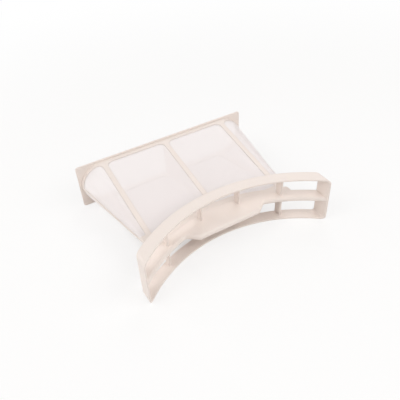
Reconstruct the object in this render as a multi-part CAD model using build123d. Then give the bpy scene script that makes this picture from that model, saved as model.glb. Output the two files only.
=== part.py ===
from build123d import *
import math
import os

# Tumble dryer lint filter, sizes in millimetres.
# An arched grille with a finger handle stands in front. Behind it a wedge-shaped mesh pocket
# opens out to a mouth with a flat flange.
# X runs along the grille, Y from the grille to the flange and Z up.
# The origin lies under the middle of the outline, on the plane that the filter rests on.

# Whole filter
overall_length = 182.8

# Arched grille
grille_width = 226.4
grille_height = 57.0
grille_depth = 14.0
front_radius = 165.5
band_wall = 2.2
end_wall = 1.8
front_corner = 5.0
back_corner = 4.5
opening_corner = 3.0
band_round = 0.6
inner_strut_place = 24.25
outer_strut_place = 72.75
strut_thickness = 2.5
strut_front_setback = 5.5
strut_back_setback = 0.6
strut_round = 0.9
bar_thickness = 6.7
bar_round = 3.0
bar_setback = 0.5

# Finger handle
handle_reach = 17.0
handle_edge_width = 76.0
handle_root_width = 100.0
handle_corner = 4.0
handle_root_round = 5.0

# Joint between the grille and the pocket
tongue_thickness = 1.8
tongue_depth = 5.0
tongue_clearance = 0.3
tongue_inset = 3.0

# Mouth flange
flange_thickness = 2.0
flange_corner = 3.0
flange_round = 0.5
flange_side_lip = 3.0
flange_top_lip = 2.5

# Mesh pocket
mouth_width = 224.0
rim_length = 5.0
knee_narrowing = 41.8
knee_height = 3.0
knee_drop = 5.0
tip_narrowing = 18.2
tip_height = 2.0
tip_drop = 14.0
near_rib_depth = 1.3
far_rib_depth = 2.2
rib_width = 6.0
side_rib_setback = 4.3
edge_rib_height = 3.0
near_wall = 5.0
window_border = 2.0
knee_border = 0.8
edge_knee_border = 8.5
rim_border = 0.6
window_corner = 7.0
near_window_corner = 1.2
web_thickness = 2.0
web_in_rim = 4.0
web_root = 0.2
land_narrowing = 4.4
land_thickness = 4.0
land_drop = 12.3
land_corner = 3.5

# Mesh
mesh_thickness = 0.3
mesh_recess = 0.5
mesh_inlet = 1.0
mesh_clearance = 0.05
seam_gap = 0.2

# Places that follow from the sizes above
mid_height = grille_height / 2
back_radius = front_radius + grille_depth
bar_front_radius = front_radius + bar_setback
tip_y = -overall_length / 2
tip_rise = math.sqrt((front_radius + band_round) ** 2 - (grille_width / 2 - band_round) ** 2)
arc_centre_y = tip_y + band_round - tip_rise
front_middle_y = arc_centre_y + front_radius
bar_back_y = arc_centre_y + back_radius
knee_y = bar_back_y - knee_drop
pocket_tip_y = bar_back_y - tip_drop
land_back_y = bar_back_y - land_drop
flange_back_y = overall_length / 2
flange_front_y = flange_back_y - flange_thickness
rim_y = flange_front_y - rim_length
flange_width = mouth_width + 2 * flange_side_lip
flange_height = grille_height
mouth_height = flange_height - 2 * flange_top_lip
knee_width = mouth_width - knee_narrowing
tip_width = knee_width - tip_narrowing
land_width = knee_width - land_narrowing
side_rib_place = (mouth_width - mouth_height) / 2 - side_rib_setback
pocket_length = rim_y - knee_y
slope_height = (mouth_height - knee_height) / 2 / pocket_length
slope_width = (mouth_width - knee_width) / 2 / pocket_length
window_near_y = knee_y + knee_border
edge_window_near_y = knee_y + edge_knee_border
window_far_y = rim_y - rim_border
arc_axis = Axis((0, arc_centre_y, 0), (0, 0, 1))


def arc_y(radius, x):
    return arc_centre_y + math.sqrt(radius * radius - x * x)


def from_arc_centre(edge):
    middle = edge.position_at(0.5)
    return math.hypot(middle.X, middle.Y - arc_centre_y)


def front_plane(y):
    # A plane across the filter at this Y, its own axes along X and Z, centred at mid height.
    return Plane(origin=(0, y, mid_height), x_dir=(1, 0, 0), z_dir=(0, -1, 0))


def slab(width, height, corner, y_from, y_to):
    # A rounded rectangle seen from the front, drawn out along Y.
    outline = front_plane(y_to) * RectangleRounded(width, height, corner)
    return extrude(outline, y_to - y_from)


def through_slab(width, height, corner):
    # A slab that runs past the grille on both sides.
    return slab(width, height, corner, tip_y - grille_depth, bar_back_y + grille_depth)


def ring_plan(inner, outer):
    centre = Pos(0, arc_centre_y)
    return centre * Circle(outer) - centre * Circle(inner)


def arch_plan(width, inner_radius):
    # The arch from above: a ring cut off along Y at both ends, with rounded back corners.
    reach = back_radius + grille_depth
    strip = Pos(0, arc_centre_y + reach / 2) * Rectangle(width, reach)
    plan = ring_plan(inner_radius, back_radius) & strip
    return fillet(plan.vertices().group_by(Axis.Y)[1], back_corner)


def grille_block():
    # The grille's outer shape, with rounded corners from the front too.
    band = extrude(arch_plan(grille_width, front_radius), grille_height)
    return band & through_slab(grille_width, grille_height, front_corner)


def grille_band():
    # The open frame of the grille: top and bottom bands and the two end walls.
    width = grille_width - 2 * end_wall
    height = grille_height - 2 * band_wall
    band = grille_block() - through_slab(width, height, opening_corner)
    front = band.faces().filter_by(GeomType.CYLINDER).sort_by(Axis.Y)
    arches = [f for f in front if abs(f.radius - front_radius) < 0.01]
    return fillet([e for f in arches for e in f.edges()], band_round)


def arched_strip(profile, half_angle):
    # A profile in the plane X = 0 carried round the grille's arc, the same to both sides.
    strip = revolve(profile, arc_axis, 2 * math.degrees(half_angle))
    return strip.rotate(arc_axis, -math.degrees(half_angle))


def arc_profile(inner, outer, height):
    middle = (0, arc_centre_y + (inner + outer) / 2, mid_height)
    return Plane(origin=middle, x_dir=(0, 1, 0), z_dir=(1, 0, 0)) * Rectangle(outer - inner, height)


def handle_plan():
    # The finger handle from above: a straight front edge and slanting ends that run on into the bar.
    half_root = handle_root_width / 2
    half_edge = handle_edge_width / 2
    root_y = arc_y(bar_front_radius, half_root)
    edge_y = front_middle_y - handle_reach
    end_x = 2 * half_root - half_edge
    end_y = 2 * root_y - edge_y
    corners = [(-end_x, end_y), (-half_edge, edge_y), (half_edge, edge_y), (end_x, end_y)]
    plan = make_face(Polyline(*corners, (end_x, bar_back_y), (-end_x, bar_back_y), close=True))
    plan = fillet(plan.vertices().group_by(Axis.Y)[0], handle_corner)
    return plan & Pos(0, arc_centre_y) * Circle(front_radius + grille_depth / 2)


def middle_bar():
    # The bar at mid height with the finger handle on it, rounded all along the front.
    plan = arch_plan(grille_width - end_wall, bar_front_radius) + handle_plan()
    root_y = arc_y(bar_front_radius, handle_root_width / 2)
    roots = [v for v in plan.vertices() if abs(v.Y - root_y) < 0.01]
    plan = fillet(roots, handle_root_round)
    bar = Pos(0, 0, mid_height - bar_thickness / 2) * extrude(plan, bar_thickness)
    level = bar.edges().group_by(Axis.Z)
    front = [e for e in level[0] + level[-1] if from_arc_centre(e) < bar_front_radius + band_round]
    return fillet(front, bar_round)


def strut(x):
    # An upright plate along Y between the bands, set back from the front, with a rounded front edge.
    ring = ring_plan(front_radius + strut_front_setback, back_radius - strut_back_setback)
    strip = Pos(x, arc_centre_y + back_radius / 2) * Rectangle(strut_thickness, back_radius)
    plan = ring & strip
    plan = fillet(plan.vertices().sort_by(Axis.Y)[:2], strut_round)
    return Pos(0, 0, band_wall / 2) * extrude(plan, grille_height - band_wall)


def struts():
    places = [inner_strut_place, outer_strut_place]
    return [strut(side * place) for place in places for side in (-1, 1)]


def tongue_groove(half_width, clearance):
    # The curved slot in the back of the middle bar, or the tongue that sits in it.
    profile = arc_profile(back_radius - tongue_depth + clearance, back_radius + 1, tongue_thickness)
    return arched_strip(profile, math.asin(half_width / back_radius))


def front_grille():
    grille = grille_band() + middle_bar()
    for plate in struts():
        grille = grille + plate
    return grille - tongue_groove(land_width / 2 - tongue_inset + tongue_clearance, 0)


def arc_disc(radius):
    # All that lies nearer to the middle of the grille's arc than this radius.
    return Pos(0, arc_centre_y) * extrude(Circle(radius), grille_height)


def pocket_section(y, inset):
    # The pocket across at this Y: a flat-sided slot that shrinks evenly towards the grille.
    width = knee_width + 2 * slope_width * (y - knee_y) - 2 * inset
    height = knee_height + 2 * slope_height * (y - knee_y) - 2 * inset
    return front_plane(y) * SlotOverall(width, height)


def pocket_wedge(near_inset, far_inset):
    return loft([pocket_section(knee_y, near_inset), pocket_section(rim_y, far_inset)], ruled=True)


def pocket_nose():
    # The solid thin end of the wedge, which draws in quickly at the sides.
    tip = front_plane(pocket_tip_y) * SlotOverall(tip_width, tip_height)
    return loft([tip, pocket_section(knee_y, 0)], ruled=True)


def pocket_inside(root):
    # The space within the ribs, ended by a near wall that follows the middle bar.
    # A root makes it that much larger.
    space = pocket_wedge(near_rib_depth - root, far_rib_depth - root)
    return space - arc_disc(back_radius + near_wall - root)


def mesh_space(clearance):
    # The thin space in the ribs, a little below their outside, that the two sheets fill.
    outer_inset = mesh_recess + mesh_clearance - clearance
    inner_inset = mesh_recess + mesh_clearance + mesh_thickness + clearance
    space = pocket_wedge(outer_inset, outer_inset) - pocket_wedge(inner_inset, inner_inset)
    return space - arc_disc(back_radius + near_wall - mesh_inlet - clearance)


def mouth_body(inset, y_to):
    # The straight part of the pocket at the mouth, from the wedge to this Y.
    return extrude(pocket_section(rim_y, inset), rim_y - y_to)


def plan_window(x_from, x_to, near_y, z_from, z_to):
    # A window from above. Its near edge follows the arc, and its far corners have the larger round.
    centre = Pos((x_from + x_to) / 2, (near_y + window_far_y) / 2)
    outline = centre * Rectangle(abs(x_to - x_from), window_far_y - near_y)
    outline = outline - Pos(0, arc_centre_y) * Circle(back_radius + near_wall + window_border)
    far_ends = outline.vertices().group_by(Axis.Y)[-1]
    outline = fillet(far_ends, window_corner)
    near_ends = [v for v in outline.vertices() if v.Y < near_y + window_corner * 2]
    side_ends = [v for v in near_ends if min(abs(v.X - x_from), abs(v.X - x_to)) < 0.01]
    outline = fillet(side_ends, near_window_corner)
    return Pos(0, 0, z_from) * extrude(outline, z_to - z_from)


def pocket_windows(side):
    # The openings on one side of the middle: one through top and bottom, two in the round edge.
    inner = side * rib_width / 2
    outer = side * (side_rib_place - rib_width / 2)
    edge_inner = side * (side_rib_place + rib_width / 2)
    edge_outer = side * (mouth_width / 2 + rib_width)
    above = mid_height + edge_rib_height / 2
    below = mid_height - edge_rib_height / 2
    return [
        plan_window(inner, outer, window_near_y, 0, grille_height),
        plan_window(edge_inner, edge_outer, edge_window_near_y, above, grille_height),
        plan_window(edge_inner, edge_outer, edge_window_near_y, 0, below),
    ]


def centre_web():
    # The upright plate under the middle rib, which holds the two faces of the wedge apart.
    inside = pocket_inside(web_root) + mouth_body(far_rib_depth - web_root, rim_y + web_in_rim)
    length = rim_y + web_in_rim - pocket_tip_y
    plate = Box(web_thickness, length, grille_height)
    return Pos(0, pocket_tip_y + length / 2, mid_height) * plate & inside


def near_land():
    # The flat plate that carries the wedge's thin end to the curved back of the middle bar.
    depth = land_back_y - tip_y
    plan = Pos(0, land_back_y - depth / 2) * Rectangle(land_width, depth)
    plan = fillet(plan.vertices().group_by(Axis.Y)[-1], land_corner)
    return Pos(0, 0, mid_height - land_thickness / 2) * extrude(plan, land_thickness)


def pocket_tongue():
    return tongue_groove(land_width / 2 - tongue_inset, tongue_clearance)


def mouth_flange():
    # A plate as tall as the grille, so that the filter rests on both.
    plate = slab(flange_width, flange_height, flange_corner, flange_front_y, flange_back_y)
    faces = plate.faces().sort_by(Axis.Y)
    return fillet(faces[0].edges() + faces[-1].edges(), flange_round)


def pocket_frame():
    body = pocket_wedge(0, 0) + pocket_nose() + mouth_body(0, flange_front_y) + mouth_flange()
    body = body + near_land() - arc_disc(back_radius)
    frame = body - pocket_inside(0) - mouth_body(far_rib_depth, flange_back_y)
    for side in (-1, 1):
        for window in pocket_windows(side):
            frame = frame - window
    frame = frame + centre_web() + pocket_tongue()
    return frame - mesh_space(mesh_clearance)


def mesh_sheet(side):
    # The upper or lower half of that space, ended just short of the edge of the wedge.
    half = Box(mouth_width, overall_length, grille_height)
    return mesh_space(0) & Pos(0, 0, mid_height + side * (grille_height + seam_gap) / 2) * half


def solid_of(shape):
    return shape.solids().sort_by(SortBy.VOLUME)[-1]


os.makedirs("parts", exist_ok=True)
export_step(solid_of(front_grille()), "parts/front_grille.step")
export_step(solid_of(pocket_frame()), "parts/pocket_frame.step")
export_step(solid_of(mesh_sheet(1)), "parts/upper_mesh.step")
export_step(solid_of(mesh_sheet(-1)), "parts/lower_mesh.step")
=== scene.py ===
import bpy
import math
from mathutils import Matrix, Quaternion, Vector


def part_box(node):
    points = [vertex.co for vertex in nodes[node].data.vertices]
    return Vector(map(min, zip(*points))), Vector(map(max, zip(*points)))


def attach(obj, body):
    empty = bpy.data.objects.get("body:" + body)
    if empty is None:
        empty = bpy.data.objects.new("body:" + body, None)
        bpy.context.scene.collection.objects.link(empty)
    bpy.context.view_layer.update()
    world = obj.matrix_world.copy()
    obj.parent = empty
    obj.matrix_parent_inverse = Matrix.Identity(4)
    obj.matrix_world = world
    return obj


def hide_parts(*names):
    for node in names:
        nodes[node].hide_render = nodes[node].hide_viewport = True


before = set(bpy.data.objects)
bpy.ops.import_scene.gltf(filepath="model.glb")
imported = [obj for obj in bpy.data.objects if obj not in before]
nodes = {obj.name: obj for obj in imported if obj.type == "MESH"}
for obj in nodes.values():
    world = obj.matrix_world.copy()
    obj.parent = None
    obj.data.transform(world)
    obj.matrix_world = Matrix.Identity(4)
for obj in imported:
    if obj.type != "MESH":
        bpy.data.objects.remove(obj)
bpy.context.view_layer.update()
bpy.ops.object.select_all(action="DESELECT")
print("frame:", ", ".join(sorted(nodes)))


# small helpers for shader nodes

def startGroup(name, inputs, outputs):
    group = bpy.data.node_groups.new(name, "ShaderNodeTree")
    for label, kind, value in inputs:
        socket = group.interface.new_socket(name=label, in_out="INPUT", socket_type=kind)
        if value is not None:
            socket.default_value = value
    for label, kind in outputs:
        group.interface.new_socket(name=label, in_out="OUTPUT", socket_type=kind)
    return group, group.nodes.new("NodeGroupInput"), group.nodes.new("NodeGroupOutput")


def startMaterial(name):
    material = bpy.data.materials.new(name)
    material.use_nodes = True
    tree = material.node_tree
    return material, tree, tree.nodes["Principled BSDF"]


def addNode(tree, kind, **settings):
    node = tree.nodes.new(kind)
    for key, value in settings.items():
        setattr(node, key, value)
    return node


def addGroup(tree, group, **values):
    node = addNode(tree, "ShaderNodeGroup", node_tree=group)
    for label, value in values.items():
        plug(tree, value, node.inputs[label.replace("_", " ")])
    return node


def plug(tree, source, target):
    # a socket is linked, anything else is set as the value
    if isinstance(source, bpy.types.NodeSocket):
        tree.links.new(source, target)
    else:
        target.default_value = source


def math2(tree, operation, a, b=None, c=None):
    node = addNode(tree, "ShaderNodeMath", operation=operation)
    for slot, value in enumerate((a, b, c)):
        if value is not None:
            plug(tree, value, node.inputs[slot])
    return node.outputs[0]


def centred(tree, value):
    # a value from 0 to 1, moved to lie around 0
    return math2(tree, "SUBTRACT", value, 0.5)


def remap(tree, value, low, high, toLow, toHigh, smooth=False):
    node = addNode(tree, "ShaderNodeMapRange")
    if smooth:
        node.interpolation_type = "SMOOTHSTEP"
    for slot, part in enumerate((value, low, high, toLow, toHigh)):
        plug(tree, part, node.inputs[slot])
    return node.outputs[0]


def mixColor(tree, factor, a, b):
    node = addNode(tree, "ShaderNodeMix", data_type="RGBA")
    plug(tree, factor, node.inputs[0])
    plug(tree, a, node.inputs[6])
    plug(tree, b, node.inputs[7])
    return node.outputs[2]


def noise(tree, vector, scale, detail=2.0, roughness=0.5):
    node = addNode(tree, "ShaderNodeTexNoise")
    plug(tree, vector, node.inputs["Vector"])
    plug(tree, scale, node.inputs["Scale"])
    node.inputs["Detail"].default_value = detail
    node.inputs["Roughness"].default_value = roughness
    return node.outputs["Fac"]


def addBump(tree, height, strength, distance):
    node = addNode(tree, "ShaderNodeBump")
    node.inputs["Strength"].default_value = strength
    node.inputs["Distance"].default_value = distance
    plug(tree, height, node.inputs["Height"])
    return node


def mixSurface(tree, factor, first, second, output):
    node = addNode(tree, "ShaderNodeMixShader")
    plug(tree, factor, node.inputs[0])
    plug(tree, first.outputs[0], node.inputs[1])
    plug(tree, second.outputs[0], node.inputs[2])
    plug(tree, node.outputs[0], tree.nodes[output].inputs["Surface"])


# shared surface effects

grainSet = {
    "slowScale": 22.0,                   # broad drift of the colour
    "flowScale": (260.0, 34.0, 140.0),   # streaks along the filter's length
    "slowShare": 0.55,
    "flowShare": 0.45,
    "fineShade": 0.03,
    "fineRoughness": 0.16,
    "flowRoughness": 0.12,
    "flowHeight": 0.25,
    "warmColor": (0.86, 0.74, 0.64, 1.0),
    "warmRange": (0.55, 0.8),            # of the broad drift
    "warmShare": 0.22,
}


def buildMoldedGrain(look):
    # slow colour drift, faint flow streaks and a fine sparked grain
    group, gin, gout = startGroup(
        "moldedGrain",
        [("Vector", "NodeSocketVector", None), ("Color", "NodeSocketColor", (0.8, 0.8, 0.8, 1)),
         ("Drift", "NodeSocketFloat", 0.05), ("Grain Size", "NodeSocketFloat", 0.0005),
         ("Roughness", "NodeSocketFloat", 0.5)],
        [("Color", "NodeSocketColor"), ("Roughness", "NodeSocketFloat"), ("Height", "NodeSocketFloat")])
    place = gin.outputs["Vector"]
    slow = noise(group, place, look["slowScale"], 3.0, 0.55)
    stretch = addNode(group, "ShaderNodeMapping")
    stretch.inputs["Scale"].default_value = look["flowScale"]
    plug(group, place, stretch.inputs["Vector"])
    flow = noise(group, stretch.outputs[0], 1.0, 3.0, 0.6)
    fine = noise(group, place, math2(group, "DIVIDE", 1.0, gin.outputs["Grain Size"]), 2.0, 0.6)
    drift = math2(group, "MULTIPLY_ADD", flow, look["flowShare"],
                  math2(group, "MULTIPLY", slow, look["slowShare"]))
    shade = math2(group, "MULTIPLY_ADD", centred(group, drift), gin.outputs["Drift"], 1.0)
    shade = math2(group, "MULTIPLY_ADD", centred(group, fine), look["fineShade"], shade)
    tinted = addNode(group, "ShaderNodeVectorMath", operation="SCALE")
    plug(group, gin.outputs["Color"], tinted.inputs[0])
    plug(group, shade, tinted.inputs["Scale"])
    warmth = remap(group, slow, *look["warmRange"], 0.0, look["warmShare"], True)
    plug(group, mixColor(group, warmth, tinted.outputs[0], look["warmColor"]), gout.inputs["Color"])
    rough = math2(group, "MULTIPLY_ADD", centred(group, fine), look["fineRoughness"],
                  gin.outputs["Roughness"])
    rough = math2(group, "MULTIPLY_ADD", centred(group, flow), look["flowRoughness"], rough)
    plug(group, rough, gout.inputs["Roughness"])
    plug(group, math2(group, "MULTIPLY_ADD", flow, look["flowHeight"], fine), gout.inputs["Height"])
    return group


wearSet = {
    "samples": 4,
    "turnRange": (0.99, 0.80),   # rounded against flat normal, from whole to worn
    "patchScale": 310.0,
    "patchRange": (0.35, 0.65),
    "patchLeast": 0.15,
}


def buildEdgeWear(look):
    # rubbed corners: the rounded normal leaves the flat one near an edge
    group, gin, gout = startGroup(
        "edgeWear",
        [("Vector", "NodeSocketVector", None), ("Width", "NodeSocketFloat", 0.0008),
         ("Strength", "NodeSocketFloat", 0.5)],
        [("Mask", "NodeSocketFloat"), ("Normal", "NodeSocketVector")])
    rounded = addNode(group, "ShaderNodeBevel", samples=look["samples"])
    plug(group, gin.outputs["Width"], rounded.inputs["Radius"])
    flat = addNode(group, "ShaderNodeNewGeometry")
    facing = addNode(group, "ShaderNodeVectorMath", operation="DOT_PRODUCT")
    plug(group, rounded.outputs[0], facing.inputs[0])
    plug(group, flat.outputs["Normal"], facing.inputs[1])
    edge = remap(group, facing.outputs["Value"], *look["turnRange"], 0.0, 1.0, True)
    patches = noise(group, gin.outputs["Vector"], look["patchScale"], 3.0, 0.6)
    patchy = remap(group, patches, *look["patchRange"], look["patchLeast"], 1.0)
    worn = math2(group, "MULTIPLY", math2(group, "MULTIPLY", edge, patchy), gin.outputs["Strength"])
    plug(group, worn, gout.inputs["Mask"])
    plug(group, rounded.outputs[0], gout.inputs["Normal"])
    return group


weaveSet = {
    "wobbleScale": 420.0,
    "wobble": 0.18,     # of the pitch
    "edgeSoft": 0.12,
    "lift": 0.6,        # of the upper thread at a crossing
    "toneTop": 1.3,
}


def buildPlainWeave(look):
    # over and under threads on a metre UV map, with open holes between them, and a tone output that is
    # painted shade: darker where a thread dips under or falls to its edge
    group, gin, gout = startGroup(
        "plainWeave",
        [("Vector", "NodeSocketVector", None), ("Pitch", "NodeSocketFloat", 0.0006),
         ("Thread Share", "NodeSocketFloat", 0.4)],
        [("Mask", "NodeSocketFloat"), ("Height", "NodeSocketFloat"), ("Painted Shade", "NodeSocketFloat")])
    split = addNode(group, "ShaderNodeSeparateXYZ")
    plug(group, gin.outputs["Vector"], split.inputs[0])
    wobble = centred(group, noise(group, gin.outputs["Vector"], look["wobbleScale"]))
    halfThread = math2(group, "MULTIPLY", gin.outputs["Thread Share"], 0.5)
    profiles, counts = [], []
    for axis in (0, 1):
        turn = math2(group, "DIVIDE", split.outputs[axis], gin.outputs["Pitch"])
        turn = math2(group, "MULTIPLY_ADD", wobble, look["wobble"], turn)
        counts.append(math2(group, "FLOOR", turn))
        away = math2(group, "ABSOLUTE", centred(group, math2(group, "FRACT", turn)))
        inside = math2(group, "DIVIDE", away, halfThread)  # 0 on the thread, 1 at its edge
        profiles.append(math2(group, "SUBTRACT", 1.0, inside))
    warp, weft = profiles
    either = math2(group, "MAXIMUM", warp, weft)
    plug(group, remap(group, either, -look["edgeSoft"], look["edgeSoft"], 0.0, 1.0), gout.inputs["Mask"])
    crossing = math2(group, "PINGPONG", math2(group, "ADD", counts[0], counts[1]), 1.0)
    lifted = math2(group, "MULTIPLY", centred(group, crossing), look["lift"])
    over = math2(group, "MAXIMUM", math2(group, "ADD", warp, lifted),
                 math2(group, "SUBTRACT", weft, lifted))
    plug(group, over, gout.inputs["Height"])
    # painted shade: the lower a thread's profile, the darker its tone
    plug(group, remap(group, over, 0.0, look["toneTop"], 0.0, 1.0), gout.inputs["Painted Shade"])
    return group


moldedGrain = buildMoldedGrain(grainSet)
edgeWear = buildEdgeWear(wearSet)
plainWeave = buildPlainWeave(weaveSet)
print("shader groups:", moldedGrain.name, edgeWear.name, plainWeave.name)


# materials

plasticSet = {
    "color": (0.874, 0.784, 0.728, 1.0),
    "wornColor": (0.93, 0.87, 0.83, 1.0),
    "wornPolish": 0.12,
    "roughness": 0.46,
    "specular": 0.35,
    "drift": 0.07,
    "grainSize": 0.00055,
    "bump": 0.05,
    "edgeWidth": 0.0007,
    "edgeStrength": 0.35,
}


def buildPlastic(name, look):
    material, tree, shader = startMaterial(name)
    place = addNode(tree, "ShaderNodeTexCoord").outputs["Object"]
    grain = addGroup(tree, moldedGrain, Vector=place, Color=look["color"], Drift=look["drift"],
                     Grain_Size=look["grainSize"], Roughness=look["roughness"])
    wear = addGroup(tree, edgeWear, Vector=place, Width=look["edgeWidth"], Strength=look["edgeStrength"])
    worn = wear.outputs["Mask"]
    plug(tree, mixColor(tree, worn, grain.outputs["Color"], look["wornColor"]), shader.inputs["Base Color"])
    plug(tree, math2(tree, "MULTIPLY_ADD", worn, -look["wornPolish"], grain.outputs["Roughness"]),
         shader.inputs["Roughness"])
    bump = addBump(tree, grain.outputs["Height"], look["bump"], look["grainSize"])
    plug(tree, wear.outputs["Normal"], bump.inputs["Normal"])
    plug(tree, bump.outputs[0], shader.inputs["Normal"])
    shader.inputs["Specular IOR Level"].default_value = look["specular"]
    return material


meshSet = {
    "color": (0.99, 0.937, 0.930, 1.0),
    "shadeAndDriftColor": (0.97, 0.91, 0.90, 1.0),
    "driftScale": 30.0,
    "driftRange": (0.3, 0.7),
    "driftShare": 0.25,      # most of the shade-and-drift colour that the random drift brings in
    "pitch": 0.00062,
    "threadShare": 0.64,
    "roughness": 0.55,
    "roughnessDrift": 0.05,
    "specular": 0.3,
    "bump": 0.2,
    "bumpDepth": 0.3,        # of the pitch
    "glowThrough": 0.09,     # share of the light that passes through the threads
}


def buildMeshCloth(name, look):
    material, tree, shader = startMaterial(name)
    flat = addNode(tree, "ShaderNodeUVMap", uv_map="clothMap").outputs[0]
    weave = addGroup(tree, plainWeave, Vector=flat, Pitch=look["pitch"], Thread_Share=look["threadShare"])
    place = addNode(tree, "ShaderNodeTexCoord").outputs["Object"]
    slow = noise(tree, place, look["driftScale"], 3.0)
    # painted shade: the weave's dips and thread edges take the darker shade-and-drift colour; the random
    # drift below mixes in the same colour as tone variation
    tone = mixColor(tree, weave.outputs["Painted Shade"], look["shadeAndDriftColor"], look["color"])
    drift = remap(tree, slow, *look["driftRange"], 0.0, look["driftShare"])
    tone = mixColor(tree, drift, tone, look["shadeAndDriftColor"])
    plug(tree, tone, shader.inputs["Base Color"])
    smoothest = look["roughness"] - look["roughnessDrift"]
    roughest = look["roughness"] + look["roughnessDrift"]
    plug(tree, remap(tree, slow, *look["driftRange"], smoothest, roughest), shader.inputs["Roughness"])
    plug(tree, weave.outputs["Mask"], shader.inputs["Alpha"])
    bump = addBump(tree, weave.outputs["Height"], look["bump"], look["pitch"] * look["bumpDepth"])
    plug(tree, bump.outputs[0], shader.inputs["Normal"])
    shader.inputs["Specular IOR Level"].default_value = look["specular"]
    through = addNode(tree, "ShaderNodeBsdfTranslucent")
    plug(tree, tone, through.inputs["Color"])
    mixSurface(tree, look["glowThrough"], shader, through, "Material Output")
    return material


framePlastic = buildPlastic("framePlastic", plasticSet)
filterMesh = buildMeshCloth("filterMesh", meshSet)
for name in ("front_grille", "pocket_frame"):
    nodes[name].data.materials.clear()
    nodes[name].data.materials.append(framePlastic)
print("materials:", framePlastic.name, filterMesh.name)


# the two mesh sheets, set into the ribs just below their outside

sheetSet = {
    "roundColumns": 14,      # over each round edge of the pocket
    "flatColumns": 56,
    "rows": 36,
    "ribPlace": 0.0817,      # the ribs that divide the cloth into panels
    "billow": 0.0003,
    "arcCentre": -0.21291,   # the near edge of the cloth follows the middle bar
    "arcRadius": 0.1835,
    "endReach": 0.0002,      # how near to an end a point of the solid counts as on it
    "settleRounds": 4,
    "areaSteps": 200,
    "smoothAngle": 40,
}


def nearEdge(x, tipY):
    # the cloth begins at the arc, or at the pocket's thin end where the arc lies further forward
    inside = sheetSet["arcRadius"] ** 2 - x * x
    return max(tipY, sheetSet["arcCentre"] + math.sqrt(max(inside, 0.0)))


def halfSlot(share, wide, tall):
    # a point on half of a flat-sided slot, with its distance along the cloth from the middle
    flat = wide - tall
    around = tall * math.pi / 2
    if abs(share) <= 1.0:
        return flat * share, tall, flat * share
    side = math.copysign(1.0, share)
    past = abs(share) - 1.0
    turn = past * math.pi / 2
    return side * (flat + tall * math.sin(turn)), tall * math.cos(turn), side * (flat + around * past)


def endSizes(node, y):
    # half width, top and bottom of the solid sheet at one of its two ends
    ring = [v.co for v in nodes[node].data.vertices if abs(v.co.y - y) < sheetSet["endReach"]]
    return max(abs(c.x) for c in ring), max(c.z for c in ring), min(c.z for c in ring)


def panelSag(x, wide, along):
    # how far the cloth gives between two ribs, 0 on each rib
    rib = sheetSet["ribPlace"]
    start, end = (0.0, rib) if abs(x) < rib else (rib, wide)
    across = (abs(x) - start) / max(end - start, 1e-6)
    return math.sin(math.pi * min(max(across, 0.0), 1.0)) * math.sin(math.pi * along)


def buildSheet(name, node):
    upper = node.startswith("upper")
    low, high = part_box(node)
    nearWide, nearTop, nearBottom = endSizes(node, low.y)
    mouthWide, mouthTop, mouthBottom = endSizes(node, high.y)
    seam = low.z if upper else high.z
    nearTall = nearTop - seam if upper else seam - nearBottom
    mouthTall = mouthTop - seam if upper else seam - mouthBottom
    length = high.y - low.y
    stretch = math.hypot(length, mouthTall - nearTall) / length  # cloth length over length along y
    columns = sheetSet["flatColumns"] + 2 * sheetSet["roundColumns"]
    edgeShare = sheetSet["flatColumns"] / columns
    bpy.ops.object.select_all(action="DESELECT")
    bpy.ops.mesh.primitive_grid_add(x_subdivisions=columns, y_subdivisions=sheetSet["rows"], size=2.0)
    sheet = bpy.context.object
    sheet.name = sheet.data.name = name
    flatPlaces = []
    for vertex in sheet.data.vertices:
        across, along = vertex.co.x, (vertex.co.y + 1.0) / 2.0
        share = across / edgeShare if abs(across) <= edgeShare else math.copysign(
            1.0 + (abs(across) - edgeShare) / (1.0 - edgeShare), across)
        y = low.y + length * along
        for step in range(sheetSet["settleRounds"]):  # the start of a column depends on its own x
            back = (y - low.y) / length
            wide = nearWide + (mouthWide - nearWide) * back
            tall = nearTall + (mouthTall - nearTall) * back
            x, rise, reach = halfSlot(share, wide, tall)
            start = nearEdge(x, low.y)
            y = start + (high.y - start) * along
        rise = max(rise - sheetSet["billow"] * panelSag(x, wide, along), 0.0)
        vertex.co = (x, y, seam + (rise if upper else -rise))
        flatPlaces.append((reach, (y - low.y) * stretch))
    clothMap = sheet.data.uv_layers[0]
    clothMap.name = "clothMap"
    for loop in sheet.data.loops:
        clothMap.data[loop.index].uv = flatPlaces[loop.vertex_index]
    bpy.ops.object.mode_set(mode="EDIT")
    bpy.ops.mesh.select_all(action="SELECT")
    if not upper:
        bpy.ops.mesh.flip_normals()
    bpy.ops.object.mode_set(mode="OBJECT")
    bpy.ops.object.shade_smooth_by_angle(angle=math.radians(sheetSet["smoothAngle"]))
    sheet.data.materials.clear()
    sheet.data.materials.append(filterMesh)
    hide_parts(node)
    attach(sheet, "root")


buildSheet("upperMeshCloth", "upper_mesh")
buildSheet("lowerMeshCloth", "lower_mesh")


# floor, light and camera

stageSet = {
    "floorSize": 8.0,
    "floorColor": (0.96, 0.945, 0.93, 1.0),
    "floorRoughness": 0.9,
    "floorSpecular": 0.1,
    "floorGlow": 0.70,         # share of plain white in what the camera sees of the open floor
    "floorNear": 0.45,         # from here that share rises, to all white at floorFar
    "floorFar": 1.1,
    "footprintLeft": -0.086,   # the patch under the pocket has less of that white, a painted darker patch where the pocket's shadow falls
    "footprintRight": 0.045,
    "footprintBack": 0.080,
    "footprintArc": 0.172,     # from the middle of the grille's arc
    "footprintFade": 0.02,
    "footprintGlow": 0.42,
    "worldLight": 0.304,
    "worldColor": (1.0, 0.985, 0.97, 1.0),
    "lampSize": 1.2,
    "lamps": {                 # place and power of each
        "frontLamp": ((0.0, -1.2, 1.2), 5.4),
        "keyLamp": ((0.9, -0.9, 1.2), 9.0),
        "sideLamp": ((-1.2, 0.0, 1.2), 8.8),
        "backLamp": ((0.9, 0.9, 1.2), 5.3),
        "lowLamp": ((-1.15, 1.15, 0.5), 6.7),
    },
}


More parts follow.
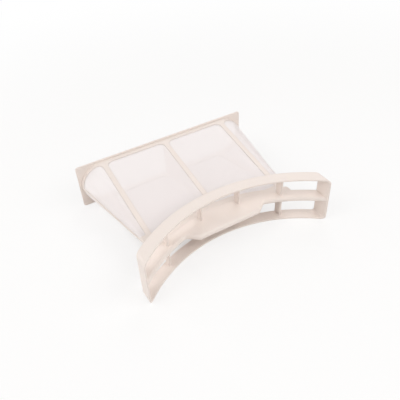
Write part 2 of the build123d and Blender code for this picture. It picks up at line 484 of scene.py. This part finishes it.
def seenRays(tree):
    # 1 for rays from the camera or off a glossy or clear surface
    path = addNode(tree, "ShaderNodeLightPath")
    seen = math2(tree, "MAXIMUM", path.outputs["Is Camera Ray"], path.outputs["Is Glossy Ray"])
    return math2(tree, "MAXIMUM", seen, path.outputs["Is Transmission Ray"])


def floorWhite(tree):
    # share of plain white over the floor: least under the pocket, a painted darker patch where its shadow
    # falls, and all of it far away
    split = addNode(tree, "ShaderNodeSeparateXYZ")
    plug(tree, addNode(tree, "ShaderNodeTexCoord").outputs["Object"], split.inputs[0])
    x, y = split.outputs[0], split.outputs[1]
    fromArc = math2(tree, "SUBTRACT", y, sheetSet["arcCentre"])
    squares = math2(tree, "MULTIPLY_ADD", fromArc, fromArc, math2(tree, "MULTIPLY", x, x))
    reach = math2(tree, "SQRT", squares)
    aside = math2(tree, "MAXIMUM", math2(tree, "SUBTRACT", stageSet["footprintLeft"], x),
                  math2(tree, "SUBTRACT", x, stageSet["footprintRight"]))
    behind = math2(tree, "SUBTRACT", y, stageSet["footprintBack"])
    ahead = math2(tree, "SUBTRACT", stageSet["footprintArc"], reach)
    beyond = math2(tree, "MAXIMUM", math2(tree, "MAXIMUM", aside, behind), ahead)
    openGlow = remap(tree, reach, stageSet["floorNear"], stageSet["floorFar"],
                     stageSet["floorGlow"], 1.0, True)
    fade = stageSet["footprintFade"] / 2
    return remap(tree, beyond, -fade, fade, stageSet["footprintGlow"], openGlow, True)


def buildFloor():
    bpy.ops.object.select_all(action="DESELECT")
    bpy.ops.mesh.primitive_plane_add(size=stageSet["floorSize"], location=(0, 0, 0))
    floor = bpy.context.object
    floor.name = "floor"
    material, tree, shader = startMaterial("floorPaper")
    shader.inputs["Base Color"].default_value = stageSet["floorColor"]
    shader.inputs["Roughness"].default_value = stageSet["floorRoughness"]
    shader.inputs["Specular IOR Level"].default_value = stageSet["floorSpecular"]
    glow = addNode(tree, "ShaderNodeEmission")
    white = math2(tree, "MULTIPLY", seenRays(tree), floorWhite(tree))
    mixSurface(tree, white, shader, glow, "Material Output")
    floor.data.materials.append(material)


def addLamp(name, place, power):
    # a round soft lamp that points at the middle of the filter
    bpy.ops.object.light_add(type="AREA", location=place)
    lamp = bpy.context.object
    lamp.name = name
    lamp.data.shape = "DISK"
    lamp.data.size = stageSet["lampSize"]
    lamp.data.energy = power
    lamp.rotation_mode = "QUATERNION"
    lamp.rotation_quaternion = (-Vector(place)).to_track_quat("-Z", "Y")


def buildLight():
    world = bpy.data.worlds.new("studio")
    bpy.context.scene.world = world
    world.use_nodes = True
    tree = world.node_tree
    light = tree.nodes["Background"]
    light.inputs["Color"].default_value = stageSet["worldColor"]
    light.inputs["Strength"].default_value = stageSet["worldLight"]
    white = addNode(tree, "ShaderNodeBackground")
    white.inputs["Color"].default_value = (1, 1, 1, 1)
    mixSurface(tree, seenRays(tree), light, white, "World Output")
    for name, (place, power) in stageSet["lamps"].items():
        addLamp(name, place, power)


cameraSet = {
    "eye": (-0.20589, -0.37494, 0.37893),
    "forward": (0.36659, 0.67124, -0.64425),
    "roll": -3.362,
    "sensor": 36.0,
    "lens": 42.802,
    "clip": (0.01, 50.0),
}


def buildCamera():
    bpy.ops.object.camera_add(location=cameraSet["eye"])
    camera = bpy.context.object
    camera.name = "photoView"
    level = Vector(cameraSet["forward"]).to_track_quat("-Z", "Y")
    camera.rotation_mode = "QUATERNION"
    camera.rotation_quaternion = level @ Quaternion((0, 0, 1), math.radians(cameraSet["roll"]))
    camera.data.sensor_width = cameraSet["sensor"]
    camera.data.lens = cameraSet["lens"]
    camera.data.clip_start, camera.data.clip_end = cameraSet["clip"]
    bpy.context.scene.camera = camera


buildFloor()
buildLight()
buildCamera()
bpy.context.scene.view_settings.view_transform = "Standard"
print("stage: floor, lamps and camera")
